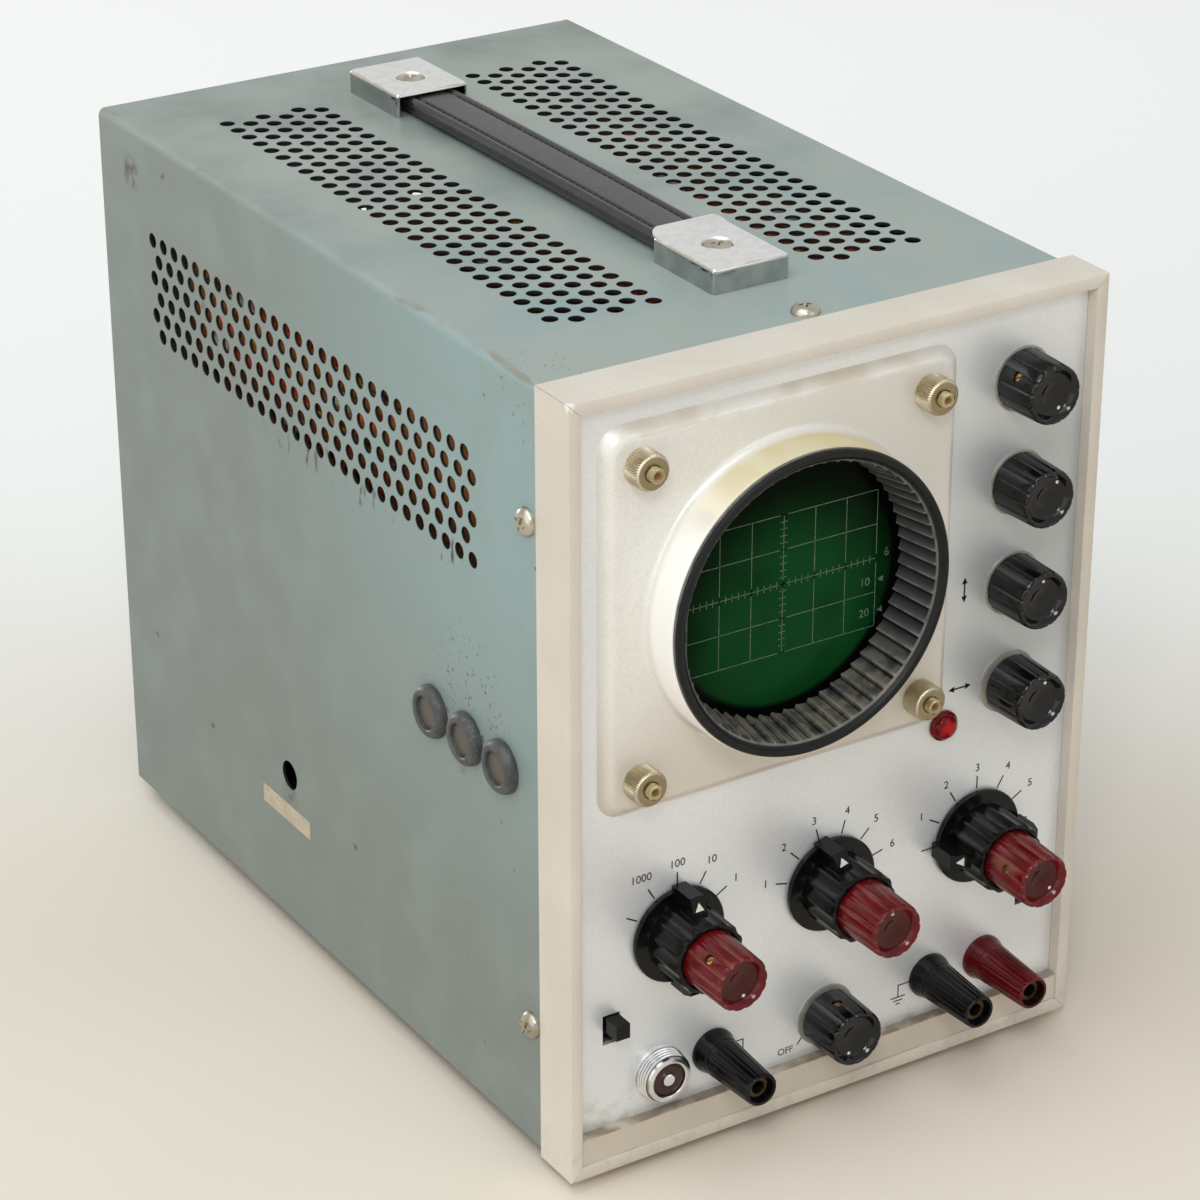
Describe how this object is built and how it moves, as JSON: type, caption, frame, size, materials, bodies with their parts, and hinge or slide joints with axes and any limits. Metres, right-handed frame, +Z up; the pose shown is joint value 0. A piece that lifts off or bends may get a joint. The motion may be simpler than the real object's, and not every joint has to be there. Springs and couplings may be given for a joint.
{
  "type": "oscilloscope",
  "caption": "Portable bench oscilloscope with a hooded round screen, fluted and pointer knobs, binding posts, a vented sheet case and a strap handle.",
  "frame": {"origin": "on the floor under the middle of the whole part", "axes": "+Z up, the front panel faces -Y, +X to the right seen from the front"},
  "size_m": [0.1734, 0.2958, 0.2412],
  "materials": {
    "bezel": "satin cream paint",
    "panel": "satin silver",
    "cover": "blue-grey paint, worn",
    "plate": "grey paint",
    "zinc": "plated sheet",
    "rubber": "moulded rubber",
    "plug_rubber": "grey rubber",
    "screw": "nickel plated",
    "surround": "silver hammered paint",
    "nickel": "aged nickel plate",
    "black_plastic": "moulded phenolic",
    "red_plastic": "moulded red",
    "filter": "green acrylic",
    "tube_glass": "glass",
    "steel": "rolled steel",
    "control_body": "pressed can",
    "phenolic": "brown phenolic",
    "shaft": "turned",
    "chrome": "chrome plate",
    "leather": "stitched black leathercloth",
    "lens": "red lens",
    "iron": "varnished laminations",
    "valve_glass": "glass",
    "board": "phenolic board",
    "capacitor": "dipped"
  },
  "bodies": {
    "cabinet": {"bezel_frame": "bezel", "sill_strip": "bezel", "front_panel": "panel", "wrap_cover": "cover", "bottom_plate": "plate", "rear_panel": "plate", "rubber_feet": "rubber", "chassis_deck": "zinc", "case_screws": "screw", "screen_surround": "surround", "surround_studs": "nickel", "thumb_nuts": "nickel", "hood_ring": "black_plastic", "graticule_filter": "filter", "picture_tube": "tube_glass", "tube_screen_can": "steel", "potentiometers": "control_body", "switch_bodies": "phenolic", "control_nuts": "screw", "coax_socket": "screw", "coax_insulator": "phenolic", "post_collars": "black_plastic", "post_studs": "nickel", "pilot_lens": "lens", "handle_strap": "leather", "handle_caps": "chrome", "blanking_plugs": "plug_rubber", "power_transformer": "iron", "valves": "valve_glass", "circuit_board": "board", "capacitors": "capacitor", "fuse_holder": "black_plastic", "cord_grommet": "rubber"},
    "intensity": {"intensity_knob": "black_plastic", "intensity_shaft": "shaft"},
    "focus": {"focus_knob": "black_plastic", "focus_shaft": "shaft"},
    "vertical_shift": {"vertical_shift_knob": "black_plastic", "vertical_shift_shaft": "shaft"},
    "horizontal_shift": {"horizontal_shift_knob": "black_plastic", "horizontal_shift_shaft": "shaft"},
    "phase_power": {"phase_power_knob": "black_plastic", "phase_power_shaft": "shaft"},
    "vertical_range": {"vertical_range_knob": "black_plastic", "vertical_range_shaft": "shaft"},
    "sweep_range": {"sweep_range_knob": "black_plastic", "sweep_range_shaft": "shaft"},
    "sync_source": {"sync_source_knob": "black_plastic", "sync_source_shaft": "shaft"},
    "vertical_gain": {"vertical_gain_knob": "red_plastic", "vertical_gain_shaft": "shaft"},
    "sweep_vernier": {"sweep_vernier_knob": "red_plastic", "sweep_vernier_shaft": "shaft"},
    "horizontal_gain": {"horizontal_gain_knob": "red_plastic", "horizontal_gain_shaft": "shaft"},
    "left_slide": {"left_slide_lever": "black_plastic"},
    "right_slide": {"right_slide_lever": "black_plastic"},
    "signal_ground_cap": {"signal_ground_cap": "black_plastic"},
    "sync_ground_cap": {"sync_ground_cap": "black_plastic"},
    "sync_input_cap": {"sync_input_cap": "red_plastic"}
  },
  "joints": [
    {"name": "intensity_turn", "type": "hinge", "parent": "cabinet", "child": "intensity", "pos_m": [0.0617, -0.11955, 0.2078], "axis": [0, 1, 0], "range_deg": [-300, 0]},
    {"name": "focus_turn", "type": "hinge", "parent": "cabinet", "child": "focus", "pos_m": [0.0617, -0.11955, 0.1775], "axis": [0, 1, 0], "range_deg": [-193, 107]},
    {"name": "vertical_shift_turn", "type": "hinge", "parent": "cabinet", "child": "vertical_shift", "pos_m": [0.0617, -0.11955, 0.1472], "axis": [0, 1, 0], "range_deg": [-159, 141]},
    {"name": "horizontal_shift_turn", "type": "hinge", "parent": "cabinet", "child": "horizontal_shift", "pos_m": [0.0617, -0.11955, 0.1169], "axis": [0, 1, 0], "range_deg": [-174, 126]},
    {"name": "phase_power_turn", "type": "hinge", "parent": "cabinet", "child": "phase_power", "pos_m": [0.0028, -0.11955, 0.0278], "axis": [0, 1, 0], "range_deg": [0, 300]},
    {"name": "vertical_range_turn", "type": "hinge", "parent": "cabinet", "child": "vertical_range", "pos_m": [-0.04735, -0.11955, 0.0706], "axis": [0, 1, 0], "range_deg": [-60, 60]},
    {"name": "sweep_range_turn", "type": "hinge", "parent": "cabinet", "child": "sweep_range", "pos_m": [0.0028, -0.11955, 0.0706], "axis": [0, 1, 0], "range_deg": [-60, 90]},
    {"name": "sync_source_turn", "type": "hinge", "parent": "cabinet", "child": "sync_source", "pos_m": [0.05295, -0.11955, 0.0706], "axis": [0, 1, 0], "range_deg": [0, 180]},
    {"name": "vertical_gain_turn", "type": "hinge", "parent": "cabinet", "child": "vertical_gain", "pos_m": [-0.04735, -0.11955, 0.0706], "axis": [0, 1, 0], "range_deg": [-300, 0]},
    {"name": "sweep_vernier_turn", "type": "hinge", "parent": "cabinet", "child": "sweep_vernier", "pos_m": [0.0028, -0.11955, 0.0706], "axis": [0, 1, 0], "range_deg": [-145, 155]},
    {"name": "horizontal_gain_turn", "type": "hinge", "parent": "cabinet", "child": "horizontal_gain", "pos_m": [0.05295, -0.11955, 0.0706], "axis": [0, 1, 0], "range_deg": [-287, 13]},
    {"name": "left_slide_move", "type": "slide", "parent": "cabinet", "child": "left_slide", "axis": [0, 0, 1], "range_m": [-0.004, 0]},
    {"name": "right_slide_move", "type": "slide", "parent": "cabinet", "child": "right_slide", "axis": [0, 0, 1], "range_m": [-0.004, 0]},
    {"name": "signal_ground_cap_turn", "type": "hinge", "parent": "cabinet", "child": "signal_ground_cap", "pos_m": [-0.0351, -0.11955, 0.0289], "axis": [0, 1, 0], "range_deg": [-1080, 0]},
    {"name": "sync_ground_cap_turn", "type": "hinge", "parent": "cabinet", "child": "sync_ground_cap", "pos_m": [0.03865, -0.11955, 0.0289], "axis": [0, 1, 0], "range_deg": [-1080, 0]},
    {"name": "sync_input_cap_turn", "type": "hinge", "parent": "cabinet", "child": "sync_input_cap", "pos_m": [0.0577, -0.11955, 0.0289], "axis": [0, 1, 0], "range_deg": [-1080, 0]}
  ]
}
